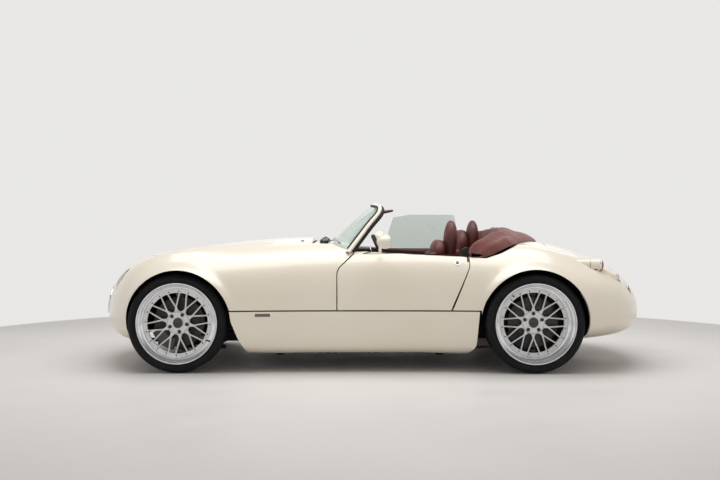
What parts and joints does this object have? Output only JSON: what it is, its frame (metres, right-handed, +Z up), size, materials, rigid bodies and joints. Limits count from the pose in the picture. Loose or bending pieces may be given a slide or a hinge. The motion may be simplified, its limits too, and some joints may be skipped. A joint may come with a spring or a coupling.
{
  "type": "roadster convertible",
  "caption": "Open two-seat roadster with rounded wings, mesh-spoke wheels, folded soft top under a cover, opening doors, bonnet and boot lid, and steered front wheels.",
  "frame": {"origin": "on the ground under the middle of the car", "axes": "-X toward the nose, -Y toward the car's left side, +Z up"},
  "size_m": [3.7698, 1.899, 1.1597],
  "materials": {
    "cream_paint": "gloss",
    "window_glass": "clear",
    "underbody_black": "matt",
    "red_leather": "satin",
    "red_cover": "satin",
    "black_trim": "satin",
    "bright_trim": "polished",
    "lamp_glass": "clear",
    "amber_lamp": "clear",
    "red_lamp": "clear",
    "steel": "brushed",
    "cast_metal": "cast",
    "chassis_steel": "painted",
    "rim_silver": "satin",
    "tyre_rubber": "matt",
    "disc_iron": "machined"
  },
  "bodies": {
    "body": {"front_body": "cream_paint", "rear_body": "cream_paint", "sills": "cream_paint", "windscreen_frame": "cream_paint", "windscreen_glass": "window_glass", "floor_tub": "underbody_black", "wheelhouse_liners": "underbody_black", "dashboard": "red_leather", "seat_left": "red_leather", "seat_right": "red_leather", "soft_top_cover": "red_cover", "roof_frame": "black_trim", "grille": "bright_trim", "headlamps": "lamp_glass", "headlamp_bowls": "bright_trim", "front_indicators": "amber_lamp", "tail_lamps_red": "red_lamp", "tail_lamps_clear": "lamp_glass", "exhaust": "steel", "engine_block": "cast_metal", "front_suspension": "chassis_steel", "rear_suspension": "chassis_steel", "wipers": "black_trim"},
    "bonnet": {"bonnet": "cream_paint"},
    "boot": {"boot_lid": "cream_paint"},
    "door_l": {"door_left": "cream_paint", "mirror_left": "cream_paint"},
    "door_r": {"door_right": "cream_paint", "mirror_right": "cream_paint", "door_glass_right": "window_glass"},
    "steering": {"steering_wheel": "black_trim"},
    "hub_l": {"knuckle_left": "cast_metal"},
    "hub_r": {"knuckle_right": "cast_metal"},
    "wheel_front_left": {"rim_front_left": "rim_silver", "tyre_front_left": "tyre_rubber", "disc_front_left": "disc_iron"},
    "wheel_front_right": {"rim_front_right": "rim_silver", "tyre_front_right": "tyre_rubber", "disc_front_right": "disc_iron"},
    "wheel_rear_left": {"rim_rear_left": "rim_silver", "tyre_rear_left": "tyre_rubber", "disc_rear_left": "disc_iron"},
    "wheel_rear_right": {"rim_rear_right": "rim_silver", "tyre_rear_right": "tyre_rubber", "disc_rear_right": "disc_iron"}
  },
  "joints": [
    {"name": "steer_left", "type": "hinge", "parent": "body", "child": "hub_l", "pos_m": [-1.28, -0.725, 0.322], "axis": [0, 0, 1], "range_deg": [-32, 32]},
    {"name": "steer_right", "type": "hinge", "parent": "body", "child": "hub_r", "pos_m": [-1.28, 0.725, 0.322], "axis": [0, 0, 1], "range_deg": [-32, 32]},
    {"name": "steering_wheel_turn", "type": "hinge", "parent": "body", "child": "steering", "pos_m": [0.078, -0.345, 0.712], "axis": [0.9063, 0, 0.4226], "range_deg": [-480, 480]},
    {"name": "wheel_front_left_spin", "type": "hinge", "parent": "hub_l", "child": "wheel_front_left", "pos_m": [-1.28, -0.725, 0.322], "axis": [0, 1, 0], "continuous": true},
    {"name": "wheel_front_right_spin", "type": "hinge", "parent": "hub_r", "child": "wheel_front_right", "pos_m": [-1.28, 0.725, 0.322], "axis": [0, 1, 0], "continuous": true},
    {"name": "wheel_rear_left_spin", "type": "hinge", "parent": "body", "child": "wheel_rear_left", "pos_m": [1.046, -0.725, 0.322], "axis": [0, 1, 0], "continuous": true},
    {"name": "wheel_rear_right_spin", "type": "hinge", "parent": "body", "child": "wheel_rear_right", "pos_m": [1.046, 0.725, 0.322], "axis": [0, 1, 0], "continuous": true},
    {"name": "door_left_swing", "type": "hinge", "parent": "body", "child": "door_l", "pos_m": [-0.231, -0.786, 0.55], "axis": [0, 0, -1], "range_deg": [0, 65]},
    {"name": "door_right_swing", "type": "hinge", "parent": "body", "child": "door_r", "pos_m": [-0.231, 0.786, 0.55], "axis": [0, 0, 1], "range_deg": [0, 65]},
    {"name": "bonnet_lift", "type": "hinge", "parent": "body", "child": "bonnet", "pos_m": [-1.552, 0, 0.74289], "axis": [0, -1, 0], "range_deg": [0, 55]},
    {"name": "boot_lift", "type": "hinge", "parent": "body", "child": "boot", "pos_m": [1.198, 0, 0.82508], "axis": [0, -1, 0], "range_deg": [0, 60]}
  ],
  "couplings": [
    {"joint": "steer_right", "follows": "steer_left", "ratio": 1},
    {"joint": "steering_wheel_turn", "follows": "steer_left", "ratio": 15}
  ]
}
